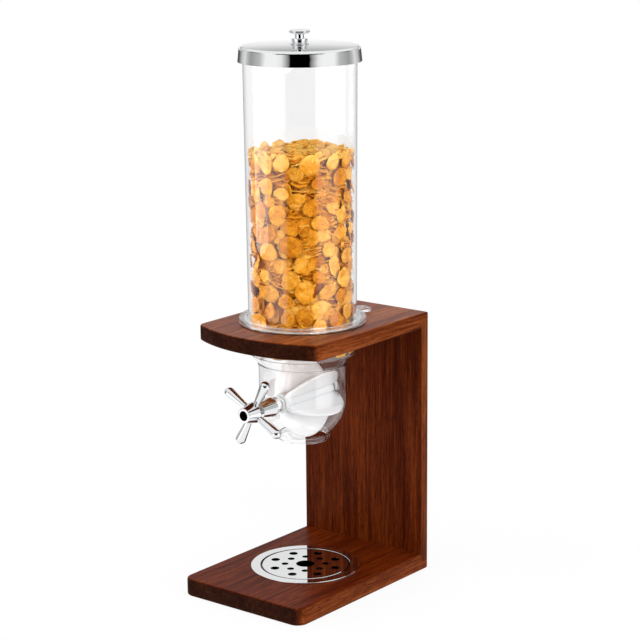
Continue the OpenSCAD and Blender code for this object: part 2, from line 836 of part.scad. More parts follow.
module lid_cover() {
    // A pressed cap: leaning skirt, round shoulder and a low dome
    dome_half_w = lid_top_r - lid_shoulder_r;
    seal_border_w = 9;
    shoulder = [dome_half_w, lid_shoulder_z];
    color([0.84, 0.85, 0.87])
        difference() {
            revolve()
                difference() {
                    polygon(concat([[0, lid_skirt_z], [lid_skirt_r, lid_skirt_z]],
                        arc(shoulder, lid_shoulder_r, 0, 80, 8),
                        lid_dome(lid_peak_z, dome_half_w)));
                    polygon(concat([[-over, lid_skirt_z - over], [lid_skirt_r - lid_t, lid_skirt_z - over],
                        [lid_skirt_r - lid_t, lid_skirt_z]],
                        arc(shoulder, lid_shoulder_r - lid_t, 0, 90, 8),
                        [[dome_half_w - seal_border_w, lid_seat_z]],
                        lid_dome(lid_peak_z - lid_t, dome_half_w - seal_border_w),
                        [[-over, lid_peak_z - lid_t]]));
                }
            translate([0, axis_y, lid_seat_z - over])
                cylinder(r = knob_screw_r + slip, h = lid_dome_h + lid_t + 2 * over, $fn = screw_fn);
        }
}

module lid_seal() {
    // An L-shaped ring over and round the canister's rim, bevelled under the lid's shoulder
    web_w = 3;
    leg_z = lid_skirt_z + 4;
    web_bottom_z = canister_top_z + slip / 3;
    leg_in_r = canister_rim_r + slip;
    leg_out_r = lid_top_r - lid_t - slip;
    web_in_r = canister_rim_r - canister_wall - web_w;
    color([0.93, 0.93, 0.92])
        revolve()
            polygon([
                [web_in_r, lid_seat_z], [web_in_r, web_bottom_z],
                [leg_in_r, web_bottom_z], [leg_in_r, leg_z],
                [leg_out_r, leg_z], [leg_out_r, lid_shoulder_z],
                [lid_top_r - lid_shoulder_r, lid_seat_z]]);
}

module knob_section() {
    // Foot, grooved collar, neck and cap, from below upwards
    groove_r = knob_collar_r - knob_groove;
    cap_edge_r = knob_cap_t * 0.4;
    polygon(concat(
        [[0, lid_peak_z]],
        arc([knob_foot_r - knob_edge_r, lid_peak_z + knob_edge_r], knob_edge_r, -90, 0),
        [[knob_foot_r, knob_collar_z - knob_groove], [groove_r, knob_collar_z],
        [groove_r, knob_collar_z + knob_groove], [knob_collar_r, knob_collar_z + 2 * knob_groove],
        [knob_collar_r, knob_neck_z - 4 * knob_groove], [groove_r, knob_neck_z - 3.5 * knob_groove],
        [groove_r, knob_neck_z - 2.5 * knob_groove], [knob_collar_r, knob_neck_z - 2 * knob_groove]],
        arc([knob_collar_r - knob_edge_r, knob_neck_z - knob_edge_r], knob_edge_r, 0, 90),
        arc([knob_neck_r + knob_edge_r, knob_neck_z + knob_edge_r], knob_edge_r, -90, -180),
        arc([knob_neck_r + knob_edge_r, knob_cap_z - knob_edge_r], knob_edge_r, 180, 90),
        [[knob_cap_r - cap_edge_r, knob_cap_z + knob_edge_r]],
        arc([knob_cap_r - cap_edge_r, knob_top_z - cap_edge_r], cap_edge_r, -45, 90, 6),
        [[0, knob_top_z]]));
}

module lid_knob() {
    color([0.82, 0.83, 0.85])
        difference() {
            revolve()
                knob_section();
            translate([0, axis_y, lid_peak_z - over])
                cylinder(r = knob_screw_r + seat_gap, h = knob_screw_l + 2 * over, $fn = screw_fn);
        }
}

module knob_washer() {
    color([0.70, 0.71, 0.73])
        translate([0, axis_y, washer_z])
            difference() {
                cylinder(r = washer_r, h = washer_t, $fn = small_fn);
                translate([0, 0, -over])
                    cylinder(r = knob_screw_r + slip, h = washer_t + 2 * over, $fn = screw_fn);
            }
}

module knob_screw() {
    // A slotted pan-head screw, up through washer and lid into the knob
    head_r = knob_screw_r * 2;
    head_z = washer_z - knob_screw_head_h;
    color([0.66, 0.67, 0.69])
        translate([0, axis_y, head_z])
            difference() {
                union() {
                    cylinder(r = head_r, h = knob_screw_head_h, $fn = small_fn);
                    cylinder(r = knob_screw_r, h = lid_peak_z + knob_screw_l - head_z, $fn = screw_fn);
                }
                translate([-head_r - over, -slot_w / 2, -over])
                    cube([2 * (head_r + over), slot_w, slot_h + over]);
            }
}

module drive_shaft() {
    // A round front journal, a six-sided stretch for the core, and a slimmer rear journal
    color([0.75, 0.76, 0.78])
        difference() {
            union() {
                tube_y(shaft_r, hexagon_half_l, shaft_front_l);
                tube_y(shaft_r, -hexagon_half_l, hexagon_half_l + over, hexagon);
                tube_y(rear_journal_r, -shaft_rear_l, -hexagon_half_l + over);
            }
            difference() {
                tube_y(rear_journal_r + over, -clip_end - core_fit, -clip_start + core_fit);
                tube_y(clip_groove_r, -clip_end - over, -clip_start + over);
            }
            tube_y(tapped_r, hub_start, shaft_front_l + over);
        }
}

module core_ribs(grow, half_l) {
    // The drive ribs, or the keyways for them when grown
    for (index = [0:core_rib_count - 1])
        translate([0, axis_y, shaft_z])
            rotate([0, index * 360 / core_rib_count + vane_angle, 0])
                translate([-core_rib_w / 2 - grow, -half_l, 0])
                    cube([core_rib_w + 2 * grow, 2 * half_l, core_r + core_rib_h + grow]);
}

module wheel_core() {
    color([0.92, 0.92, 0.90])
        difference() {
            union() {
                tube_y(core_r, -core_half_l, core_half_l);
                core_ribs(0, wheel_half_l);
            }
            tube_y(shaft_r + core_fit, -core_half_l - over, core_half_l + over, hexagon);
        }
}

module vane_section() {
    // One tapered vane, pointing up; its edge is cut to shape by the ball
    polygon([[-vane_root_t / 2, 0], [-vane_edge_t / 2, vane_r + over],
        [vane_edge_t / 2, vane_r + over], [vane_root_t / 2, 0]]);
}

module paddle_wheel() {
    // A soft hub with half-disc vanes that sweep the bowl
    color([0.96, 0.96, 0.97])
        difference() {
            union() {
                tube_y(wheel_hub_r, -wheel_half_l, wheel_half_l);
                intersection() {
                    translate([0, axis_y, shaft_z])
                        sphere(r = vane_r);
                    translate([0, axis_y + wheel_half_l, shaft_z])
                        rotate([90, 0, 0])
                            linear_extrude(2 * wheel_half_l)
                                for (index = [0:vane_count - 1])
                                    rotate([0, 0, -vane_angle - index * 360 / vane_count])
                                        vane_section();
                }
            }
            tube_y(core_r + core_fit, -wheel_half_l - over, wheel_half_l + over);
            core_ribs(core_fit, wheel_half_l + over);
        }
}

module bush(side, journal_r) {
    // A flanged sleeve in the housing's boss, on the front (1) or at the rear (-1)
    inner_end = bowl_r - housing_wall + over / 2;
    root = over / 5;
    difference() {
        union() {
            tube_y(bush_hole_r - seat_gap, side > 0 ? inner_end : -boss_l - root,
                side > 0 ? boss_l + root : -inner_end);
            tube_y(bush_flange_r, side > 0 ? boss_l : -bush_face_l, side > 0 ? bush_face_l : -boss_l);
        }
        tube_y(journal_r + shaft_fit, -bush_face_l - over, bush_face_l + over);
    }
}

module front_bush() {
    color([0.90, 0.90, 0.88])
        bush(1, shaft_r);
}

module rear_bush() {
    color([0.90, 0.90, 0.88])
        bush(-1, rear_journal_r);
}

module flared_collar() {
    // Opens towards the housing like a shallow bell
    lip_l = 2.4;
    edge = 0.6;
    color([0.83, 0.84, 0.86])
        difference() {
            revolve_y(collar_start)
                polygon(concat([[0, 0]],
                    arc([flare_rear_r - edge, edge], edge, -90, 0),
                    [[flare_rear_r, lip_l], [flare_front_r, collar_l], [0, collar_l]]));
            tube_y(flare_rear_r - flare_wall, collar_start - over, collar_start + flare_hollow_l);
            tube_y(shaft_r + handle_fit, collar_start - over, collar_start + collar_l + over);
        }
}

module handle_hub() {
    // A barrel that narrows to the nose, with sockets for the arms
    shoulder_r = flare_front_r + 1.2;
    round_r = 2.4;
    nose_edge_r = 0.8;
    color([0.83, 0.84, 0.86])
        difference() {
            revolve_y(hub_start)
                polygon(concat([[0, 0], [shoulder_r, 0]],
                    arc([hub_r - round_r, round_r], round_r, -60, 0),
                    arc([hub_r - round_r, barrel_l - round_r], round_r, 0, 12, 2),
                    arc([nose_r - nose_edge_r, hub_l - nose_edge_r], nose_edge_r, 10, 90),
                    [[0, hub_l]]));
            tube_y(nose_bore_r, shaft_front_l, nose_l + over);
            tube_y(shaft_r + handle_fit, hub_start - over, shaft_front_l + over);
            for (index = [0:arm_count - 1])
                arm_place(index)
                    translate([0, 0, socket_floor])
                        cylinder(r = spigot_r + handle_fit, h = hub_r, $fn = small_fn);
        }
}

module arm_place(index) {
    // Puts a child that stands up on the Z axis where an arm is
    translate([0, axis_y - arm_plane_l, shaft_z])
        rotate([0, arm_angle + index * 360 / arm_count, 0])
            children();
}

module handle_arms() {
    // Each arm is a spigot, a slim cone and a ball end
    color([0.86, 0.87, 0.89])
        for (index = [0:arm_count - 1])
            arm_place(index) {
                translate([0, 0, socket_floor + core_fit])
                    cylinder(r = spigot_r, h = hub_r - socket_floor + over, $fn = small_fn);
                translate([0, 0, hub_r + core_fit])
                    cylinder(r1 = arm_root_r, r2 = arm_ball_r - core_fit,
                        h = arm_reach - hub_r - over, $fn = small_fn);
                translate([0, 0, arm_reach])
                    sphere(r = arm_ball_r, $fn = small_fn);
            }
}

module handle_screw() {
    // A socket-head screw in the nose, into the shaft's tapped end
    head_r = nose_bore_r - 1.4;
    head_h = 3;
    socket_r = 2.3;
    color([0.55, 0.56, 0.58])
        difference() {
            union() {
                tube_y(head_r, shaft_front_l, shaft_front_l + head_h);
                tube_y(tapped_r - seat_gap, hub_start + over, shaft_front_l + over);
            }
            tube_y(socket_r, shaft_front_l + over, shaft_front_l + head_h + over, hexagon);
        }
}

module rear_clip() {
    // A snap ring with an open side, in the shaft's groove
    clip_out_r = rear_journal_r + clip_w;
    mouth_w = rear_journal_r * 1.1;
    color([0.60, 0.61, 0.63])
        difference() {
            tube_y(clip_out_r, -clip_end, -clip_start);
            tube_y(clip_groove_r + seat_gap, -clip_end - over, -clip_start + over);
            translate([-mouth_w / 2, axis_y + clip_start - over, shaft_z - clip_out_r - over])
                cube([mouth_w, clip_t + 2 * over, clip_out_r + over]);
        }
}

base_board();
back_panel();
top_shelf();
shelf_dowels();
base_screws();
rubber_feet();
tray_dish();
tray_grille();
dispenser_housing();
lock_ring();
canister_tube();
canister_seal();
cereal_fill();
lid_cover();
lid_seal();
lid_knob();
knob_screw();
knob_washer();
drive_shaft();
wheel_core();
paddle_wheel();
front_bush();
rear_bush();
flared_collar();
handle_hub();
handle_arms();
handle_screw();
rear_clip();
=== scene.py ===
"""Looks of the gravity bulk food bin: materials, corn flakes, studio light and the photograph's view.

Every length is in metres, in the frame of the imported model.
"""

import math

import bpy
import numpy as np
from mathutils import Matrix, Vector


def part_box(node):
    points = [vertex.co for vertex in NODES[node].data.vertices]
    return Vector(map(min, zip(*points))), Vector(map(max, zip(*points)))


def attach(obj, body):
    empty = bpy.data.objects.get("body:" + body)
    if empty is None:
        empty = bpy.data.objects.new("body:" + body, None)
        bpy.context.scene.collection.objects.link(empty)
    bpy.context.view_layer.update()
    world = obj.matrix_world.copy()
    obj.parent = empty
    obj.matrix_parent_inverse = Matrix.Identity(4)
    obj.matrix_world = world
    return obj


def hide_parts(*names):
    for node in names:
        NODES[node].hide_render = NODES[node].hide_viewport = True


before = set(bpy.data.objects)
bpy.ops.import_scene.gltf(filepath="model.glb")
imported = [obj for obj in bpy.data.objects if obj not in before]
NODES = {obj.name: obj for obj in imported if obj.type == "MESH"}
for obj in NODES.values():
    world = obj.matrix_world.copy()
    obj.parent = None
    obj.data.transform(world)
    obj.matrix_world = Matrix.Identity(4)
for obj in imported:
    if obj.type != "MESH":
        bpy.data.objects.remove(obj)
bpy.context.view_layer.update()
MM = 0.001
AXIS_Y = 1
AXIS_Z = 2
WHITE = (1, 1, 1, 1)

# ---------------------------------------------------------------- the view

VIEW_AZIMUTH = math.radians(38.99)
VIEW_ELEVATION = math.radians(13.59)
VIEW_YAW = math.radians(0.43)
VIEW_PITCH = math.radians(0.23)
VIEW_ROLL = math.radians(-0.51)
VIEW_DISTANCE = 2.581
VIEW_HEIGHT = 0.334
FOCAL_PIXELS = 2072.5
IMAGE_PIXELS = 640
SENSOR_MM = 36


def photo_camera():
    """The camera at the photograph's viewing angle."""
    sin_a, cos_a = math.sin(VIEW_AZIMUTH), math.cos(VIEW_AZIMUTH)
    sin_e, cos_e = math.sin(VIEW_ELEVATION), math.cos(VIEW_ELEVATION)
    back = Vector((sin_a * cos_e, -cos_a * cos_e, sin_e))
    side = Vector((cos_a, sin_a, 0))
    forward = (math.tan(VIEW_YAW) * side + math.tan(VIEW_PITCH) * back.cross(side) - back).normalized()
    right = forward.cross(Vector((0, 0, 1))).normalized()
    up = right.cross(forward)
    rolled_right = math.cos(VIEW_ROLL) * right + math.sin(VIEW_ROLL) * up
    rolled_up = math.cos(VIEW_ROLL) * up - math.sin(VIEW_ROLL) * right
    data = bpy.data.cameras.new("photo_camera")
    data.sensor_width = SENSOR_MM
    data.lens = FOCAL_PIXELS / IMAGE_PIXELS * SENSOR_MM
    data.clip_end = 100
    camera = bpy.data.objects.new("photo_camera", data)
    axes = Matrix((rolled_right, rolled_up, -forward)).transposed()
    place = Vector((0, 0, VIEW_HEIGHT)) + VIEW_DISTANCE * back
    camera.matrix_world = Matrix.Translation(place) @ axes.to_4x4()
    bpy.context.scene.collection.objects.link(camera)
    bpy.context.scene.camera = camera


photo_camera()

# ---------------------------------------------------------------- shader graphs


class Graph:
    """Adds and links the nodes of one material or world."""

    def __init__(self, tree):
        self.tree = tree
        tree.nodes.clear()

    def add(self, kind, inputs=None, **settings):
        node = self.tree.nodes.new(kind)
        for name, value in settings.items():
            setattr(node, name, value)
        for name, value in (inputs or {}).items():
            self.feed(node.inputs[name], value)
        return node

    def feed(self, socket, value):
        if isinstance(value, bpy.types.NodeSocket):
            self.tree.links.new(value, socket)
        else:
            socket.default_value = value

    def math(self, operation, a, b=0.0, clamp=False):
        return self.add("ShaderNodeMath", {0: a, 1: b}, operation=operation, use_clamp=clamp).outputs[0]

    def mix(self, factor, a, b, blend="MIX"):
        node = self.add("ShaderNodeMix", data_type="RGBA", blend_type=blend)
        self.feed(node.inputs["Factor"], factor)
        self.feed(node.inputs[6], a)
        self.feed(node.inputs[7], b)
        return node.outputs[2]

    def ramp(self, factor, stops, smooth=False):
        """A colour ramp; stops are (position, colour or grey)."""
        node = self.add("ShaderNodeValToRGB", {"Fac": factor})
        node.color_ramp.interpolation = "EASE" if smooth else "LINEAR"
        points = node.color_ramp.elements
        while len(points) < len(stops):
            points.new(0.5)
        for point, (position, colour) in zip(points, stops):
            point.position = position
            point.color = colour if isinstance(colour, tuple) else (colour, colour, colour, 1)
        return node.outputs["Color"]

    def noise(self, vector, scale, detail=2.0, roughness=0.5, distortion=0.0):
        return self.add("ShaderNodeTexNoise", {"Vector": vector, "Scale": scale, "Detail": detail,
            "Roughness": roughness, "Distortion": distortion}).outputs["Fac"]

    def place(self, scale, shift=(0, 0, 0)):
        """The piece's own coordinates, stretched."""
        coordinates = self.add("ShaderNodeTexCoord").outputs["Object"]
        return self.add("ShaderNodeMapping", {"Vector": coordinates, "Scale": scale,
            "Location": shift}).outputs["Vector"]

    def bump(self, height, strength, distance):
        return self.add("ShaderNodeBump", {"Height": height, "Strength": strength,
            "Distance": distance}).outputs["Normal"]


def new_material(name):
    material = bpy.data.materials.new(name)
    material.use_nodes = True
    return material, Graph(material.node_tree)


def principled(graph, inputs):
    shader = graph.add("ShaderNodeBsdfPrincipled", inputs)
    graph.add("ShaderNodeOutputMaterial", {"Surface": shader.outputs[0]})
    return shader


# ---------------------------------------------------------------- wood

# Grain colours of the oiled wood, linear; the ends multiply them with darker end grain and painted shade,
# and the side faces multiply them with painted light
WOOD_PORE = (0.012, 0.0014, 0.0003, 1)
WOOD_DARK = (0.045, 0.0048, 0.0005, 1)
WOOD_MID = (0.088, 0.0125, 0.0014, 1)
WOOD_LIGHT = (0.170, 0.0310, 0.0046, 1)
END_GRAIN_AND_SHADE = (0.25, 0.37, 0.9, 1)
SIDE_PAINTED_LIGHT = (1.65, 2.25, 3.4, 1)
# Painted light on the upper faces: their colours are made paler, as the studio light and sheen from above
# would make them
BASE_TOP_PAINTED_LIGHT = (1.28, 1.20, 1.1, 1)
SHELF_TOP_PAINTED_LIGHT = (2.15, 2.8, 2.0, 1)


def wood(name, grain_axis, shift, tone=1.0, polish=0.03, top_painted_light=WHITE):
    """Oiled reddish wood: bands, streaks and pores, with ends darkened as end grain and painted shade,
    sides and top made lighter as painted light, and a polished top.
    """
    material, g = new_material(name)

    def stretched(across, along):
        return g.place([along if i == grain_axis else across for i in range(3)], shift)

    sway = g.math("MULTIPLY", g.math("SUBTRACT", g.noise(stretched(6, 1.2), 1.0, 2.0), 0.5), 0.035)
    offset = {i: 0.0 if i == grain_axis else sway for i in range(3)}
    fibre = g.add("ShaderNodeVectorMath", {0: stretched(1, 0.04),
        1: g.add("ShaderNodeCombineXYZ", offset).outputs[0]}, operation="ADD").outputs[0]
    bands = g.noise(fibre, 38, 3.0, 0.55)
    streaks = g.noise(fibre, 210, 4.0, 0.65)
    threads = g.noise(fibre, 900, 2.0, 0.6)
    pores = g.noise(stretched(1.0, 0.10), 1000, 2.0, 0.55)
    grain = g.math("ADD", g.math("MULTIPLY", bands, 0.30), g.math("MULTIPLY", streaks, 0.40))
    grain = g.math("ADD", grain, g.math("MULTIPLY", threads, 0.30))
    colour = g.ramp(grain, [(0.41, WOOD_DARK), (0.50, WOOD_MID), (0.61, WOOD_LIGHT)])
    pore = g.ramp(pores, [(0.56, 0.0), (0.66, 1.0)])
    colour = g.mix(g.math("MULTIPLY", pore, 0.62), colour, WOOD_PORE)
    if tone != 1.0:
        colour = g.mix(1.0, colour, (tone, tone, tone, 1), "MULTIPLY")
    normal = g.add("ShaderNodeTexCoord").outputs["Normal"]
    facing = g.add("ShaderNodeSeparateXYZ", {0: normal})
    # Painted light: the side faces, turned along X towards the side lamp, are made lighter and yellower
    edges = g.ramp(g.math("ABSOLUTE", facing.outputs["X"]), [(0.45, 0.0), (0.92, 1.0)])
    colour = g.mix(edges, colour, g.mix(1.0, colour, SIDE_PAINTED_LIGHT, "MULTIPLY"))
    # The ends are darker, partly as real end grain and partly as painted shade on these weakly lit faces
    ends_and_shade = g.ramp(g.math("ABSOLUTE", facing.outputs[grain_axis]), [(0.45, 0.0), (0.92, 1.0)])
    colour = g.mix(ends_and_shade, colour, g.mix(1.0, colour, END_GRAIN_AND_SHADE, "MULTIPLY"))
    top = g.ramp(facing.outputs["Z"], [(0.6, 0.0), (0.95, 1.0)])
    # Painted light and sheen: the upper faces' colour is made paler
    colour = g.mix(top, colour, g.mix(1.0, colour, top_painted_light, "MULTIPLY"))
    gloss = g.math("ADD", g.math("MULTIPLY", top, polish), 0.02)
    rough = g.ramp(grain, [(0.35, 0.52), (0.65, 0.40)])
    relief = g.math("SUBTRACT", g.math("MULTIPLY", streaks, 0.5), g.math("MULTIPLY", pore, 0.8))
    principled(g, {"Base Color": colour, "Roughness": rough, "IOR": 1.45, "Specular IOR Level": 0.03,
        "Coat Weight": gloss, "Coat Roughness": 0.24, "Coat IOR": 1.45,
        "Normal": g.bump(relief, 0.30, 0.25 * MM)})
    return material


# ---------------------------------------------------------------- metals

POLISHED = (0.88, 0.885, 0.89, 1)
CHROMED = (0.86, 0.87, 0.885, 1)
PAINTED_SHADE_INSIDE = (0.03, 0.027, 0.025, 1)


def metal(name, colour, roughness, wobble, shaded_inside=None):
    """Polished metal with a faint wobble; the last argument gives (x, y, z, along, radius) of an inside
    coloured near black as painted shade, and made rougher.
    """
    material, g = new_material(name)
    polish = g.noise(g.place((1, 1, 1)), 300, 3.0)
    rough = g.math("ADD", g.math("MULTIPLY", polish, 0.02), roughness)
    tint = g.mix(g.noise(g.place((1, 1, 1), (3, 1, 2)), 40), colour, [c * 0.96 for c in colour[:3]] + [1])
    waves = g.noise(g.place((1, 1, 1), (1, 5, 3)), 22, 1.0)
    if shaded_inside:
        x, y, z, along, radius = shaded_inside
        spot = g.add("ShaderNodeVectorMath", {0: g.place([float(i != along) for i in range(3)]),
            1: [c * (i != along) for i, c in enumerate((x, y, z))]}, operation="DISTANCE").outputs["Value"]
        inside = g.math("LESS_THAN", spot, radius)
        # Painted shade: the hollow inside is coloured near black; its added roughness is real
        tint = g.mix(inside, tint, PAINTED_SHADE_INSIDE)
        rough = g.math("ADD", rough, g.math("MULTIPLY", inside, 0.4))
    principled(g, {"Base Color": tint, "Metallic": 1.0, "Roughness": rough,
        "Normal": g.bump(waves, wobble, 0.4 * MM)})
    return material


def steel_screw():
    """Plated steel with fine turning marks."""
    material, g = new_material("plated_steel")
    marks = g.noise(g.place((1, 1, 1)), 1500, 2.0)
    principled(g, {"Base Color": g.mix(marks, (0.42, 0.42, 0.44, 1), (0.62, 0.62, 0.64, 1)),
        "Metallic": 1.0, "Roughness": g.math("ADD", g.math("MULTIPLY", marks, 0.15), 0.22),
        "Normal": g.bump(marks, 0.15, 0.1 * MM)})
    return material


# ---------------------------------------------------------------- plastics, rubber, silicone


def clear_plastic(name, tint, ior):
    """Clear moulded plastic that lets the lamps through, with an uneven polish and a faint tint."""
    material, g = new_material(name)
    cloud = g.noise(g.place((1, 1, 1), (2, 2, 2)), 12)
    glass = g.add("ShaderNodeBsdfPrincipled", {
        "Base Color": g.mix(cloud, tint, [c * 0.995 for c in tint[:3]] + [1]),
        "Roughness": g.math("MULTIPLY", g.noise(g.place((1, 1, 1)), 90), 0.012),
        "IOR": ior, "Transmission Weight": 1.0})
    clear = g.add("ShaderNodeBsdfTransparent", {"Color": [c * 0.985 for c in tint[:3]] + [1]})
    shadow = g.add("ShaderNodeLightPath").outputs["Is Shadow Ray"]
    both = g.add("ShaderNodeMixShader", {0: shadow, 1: glass.outputs[0], 2: clear.outputs[0]})
    g.add("ShaderNodeOutputMaterial", {"Surface": both.outputs[0]})
    return material


def soft_white(name, colour, roughness, depth, scale, deep=6 * MM):
    """Milky silicone or moulded white plastic."""
    material, g = new_material(name)
    cloud = g.noise(g.place((1, 1, 1)), scale, 3.0)
    grain = g.noise(g.place((1, 1, 1), (4, 4, 4)), 900, 2.0)
    principled(g, {"Base Color": g.mix(cloud, colour, [c * 0.965 for c in colour[:3]] + [1]),
        "Roughness": g.math("ADD", g.math("MULTIPLY", grain, 0.10), roughness),
        "Subsurface Weight": depth, "Subsurface Radius": (1.0, 0.97, 0.95), "Subsurface Scale": deep,
        "Normal": g.bump(grain, 0.06, 0.1 * MM)})
    return material


def foot_rubber():
    material, g = new_material("black_rubber")
    grain = g.noise(g.place((1, 1, 1)), 700, 3.0)
    principled(g, {"Base Color": g.mix(grain, (0.012, 0.012, 0.012, 1), (0.03, 0.03, 0.03, 1)),
        "Roughness": g.math("ADD", g.math("MULTIPLY", grain, 0.2), 0.6),
        "Normal": g.bump(grain, 0.3, 0.2 * MM)})
    return material


# ---------------------------------------------------------------- corn flakes

FLAKE_DEEP = (0.46, 0.130, 0.003, 1)
FLAKE_MID = (0.70, 0.280, 0.014, 1)
FLAKE_LIGHT = (0.88, 0.490, 0.095, 1)
FLAKE_TOAST = (0.28, 0.060, 0.001, 1)
FLAKE_SEED = 11
# Different flakes, the points round each, its rings of points, its mean radius and its thickness
FLAKE_KINDS = 14
FLAKE_SIDES = 18
FLAKE_RINGS = 4
FLAKE_MEAN_R = 11.8 * MM
FLAKE_T = 1.0 * MM
# Spots tried for each flake that is wanted
SCATTER_TRIES = 40
# Share of a turn from one flake of the crown to the next
GOLDEN = 0.6180339887
# Least and greatest size of a flake, as a share of the mean
FLAKE_SIZES = (0.74, 1.18)
# Flakes that face the wall: how many, how deep, how much deeper at most, and how far apart
FACING_LAYERS = (
    (165, 0, 1.6 * MM, 19.5 * MM),
    (200, 4.2 * MM, 2.2 * MM, 17 * MM),
    (270, 8.5 * MM, 2.5 * MM, 13 * MM))
# How far those flakes lean out of the wall's direction, in radians
FACING_LEAN = 0.24
# Stacks of flakes seen on edge: how many, the flakes' places in each, and the step from one to the next
STACK_COUNT = 95
STACK_PLACES = (-2, -1, 0, 1, 2)
STACK_STEP = 2.9 * MM
# How far the stacks keep apart, how far their flakes lean, in radians, and how deep they lie
STACK_GAP = 13 * MM
STACK_LEAN = (1.25, 1.70)
STACK_DEPTH = (0.8 * MM, 2.6 * MM)
# Loose flakes on top of the fill
CROWN_COUNT = 150
# The plain core that closes the gaps between the flakes, coloured dark as painted shade of the deep fill
CORE_R = 0.053
CORE_SIDES = 48
CORE_LEVELS = 24
# The inside of the canister and of the housing's collar below it
WALL_GAP = 0.35 * MM
CANISTER_FOOT_Z = 0.347
CANISTER_FOOT_R = 0.0643
CANISTER_TAPER = 0.0023 / 0.331
COLLAR_R = 0.0640
FILL_BOTTOM = 0.3085
FILL_TOP = 0.5590


def flake_material():
    """Toasted corn flakes: each has its own tone, blisters and toasted spots; those near the top of the
    fill are made paler as painted light.
    """
    material, g = new_material("toasted_flake")
    random = g.add("ShaderNodeNewGeometry").outputs["Random Per Island"]
    blisters = g.noise(g.place((1, 1, 1)), 520, 4.0, 0.62, 0.6)
    patches = g.noise(g.place((1, 1, 1), (7, 3, 1)), 95, 2.0)
    tone = g.math("ADD", g.math("MULTIPLY", random, 0.45), g.math("MULTIPLY", patches, 0.70))
    tone = g.math("ADD", tone, g.math("MULTIPLY", g.math("SUBTRACT", blisters, 0.5), 0.85))
    height = g.add("ShaderNodeSeparateXYZ", {0: g.place((1, 1, 1), (0, 0, -FILL_TOP))}).outputs["Z"]
    # Painted light: flakes within about 15 mm below the top of the fill are made paler
    crown_painted_light = g.math("MULTIPLY", g.math("ADD", height, 20 * MM), 40.0)
    tone = g.math("ADD", tone, g.ramp(crown_painted_light, [(0.2, 0.0), (0.7, 0.4)]))
    colour = g.ramp(tone, [(0.28, FLAKE_DEEP), (0.56, FLAKE_MID), (0.90, FLAKE_LIGHT)])
    toast = g.ramp(g.noise(g.place((1, 1, 1), (1, 8, 5)), 210, 2.0), [(0.64, 0.0), (0.76, 1.0)])
    colour = g.mix(g.math("MULTIPLY", toast, 0.20), colour, FLAKE_TOAST)
    principled(g, {"Base Color": colour, "Roughness": 0.58, "Specular IOR Level": 0.12,
        "Subsurface Weight": 0.10, "Subsurface Radius": (1.0, 0.55, 0.2), "Subsurface Scale": 1.0 * MM,
        "Normal": g.bump(blisters, 0.75, 0.6 * MM)})
    return material


def wall_radius(z):
    """The inner radius of the canister, or of the housing's collar below it."""
    tube = CANISTER_FOOT_R + CANISTER_TAPER * (z - CANISTER_FOOT_Z)
    return np.where(z > CANISTER_FOOT_Z, tube, COLLAR_R) - WALL_GAP


def flake_kind(rng):
    """One closed, thin, cupped and wrinkled flake: its points and its faces."""
    angle = np.arange(FLAKE_SIDES) / FLAKE_SIDES * 2 * np.pi
    outline = 1.0 + sum(rng.uniform(0.03, 0.11) / k * 2 * np.cos(k * angle + rng.uniform(0, 2 * np.pi))
        for k in (2, 3, 5, 7)) + 0.035 * rng.normal(size=FLAKE_SIDES)
    stretch = rng.uniform(0.80, 1.0)
    cup = rng.uniform(-0.20, 0.16)
    fold = rng.uniform(-0.16, 0.16)
    phase = rng.uniform(0, 2 * np.pi, 3)
    rings = np.linspace(0, 1, FLAKE_RINGS + 1)[1:]
    flat = [np.zeros((1, 2))]
    for ring in rings:
        r = ring * (outline if ring > 0.5 else 1 + (outline - 1) * 0.5)
        flat.append(np.stack([r * np.cos(angle), r * np.sin(angle) * stretch], 1))
    flat = np.concatenate(flat)
    x, y = flat[:, 0], flat[:, 1]
    lift = cup * (x * x + y * y) + fold * x * y + 0.14 * x ** 3 * np.cos(phase[2])
    lift += 0.060 * np.sin(6.1 * x + phase[0]) * np.cos(5.3 * y + phase[1])
    lift += 0.045 * rng.normal(size=len(flat))
    half = np.full(len(flat), 0.5 * FLAKE_T / FLAKE_MEAN_R)
    half[1 + (FLAKE_RINGS - 1) * FLAKE_SIDES:] *= 0.45
    points = np.concatenate([np.stack([x, y, lift + half], 1), np.stack([x, y, lift - half], 1)])
    count = len(flat)
    faces = []
    for layer, flip in ((0, False), (count, True)):
        for i in range(FLAKE_SIDES):
            j = (i + 1) % FLAKE_SIDES
            tri = (layer, layer + 1 + i, layer + 1 + j)
            faces.append(tri[::-1] if flip else tri)
            for ring in range(FLAKE_RINGS - 1):
                a = layer + 1 + ring * FLAKE_SIDES
                b = a + FLAKE_SIDES
                for tri in ((a + i, b + i, b + j), (a + i, b + j, a + j)):
                    faces.append(tri[::-1] if flip else tri)
    edge = 1 + (FLAKE_RINGS - 1) * FLAKE_SIDES
    for i in range(FLAKE_SIDES):
        j = (i + 1) % FLAKE_SIDES
        faces.append((edge + i, count + edge + i, count + edge + j))
        faces.append((edge + i, count + edge + j, edge + j))
    return points * FLAKE_MEAN_R, np.array(faces)


def turn_to(normal, spin):
    """A rotation that takes +Z to the normal, after a spin about +Z."""
    helper = np.array((1.0, 0, 0)) if abs(normal[0]) < 0.8 else np.array((0, 1.0, 0))
    side = np.cross(helper, normal)
    side /= np.linalg.norm(side)
    other = np.cross(normal, side)
    basis = np.stack([side, other, normal], 1)
    c, s = math.cos(spin), math.sin(spin)
    return basis @ np.array(((c, -s, 0), (s, c, 0), (0, 0, 1)))


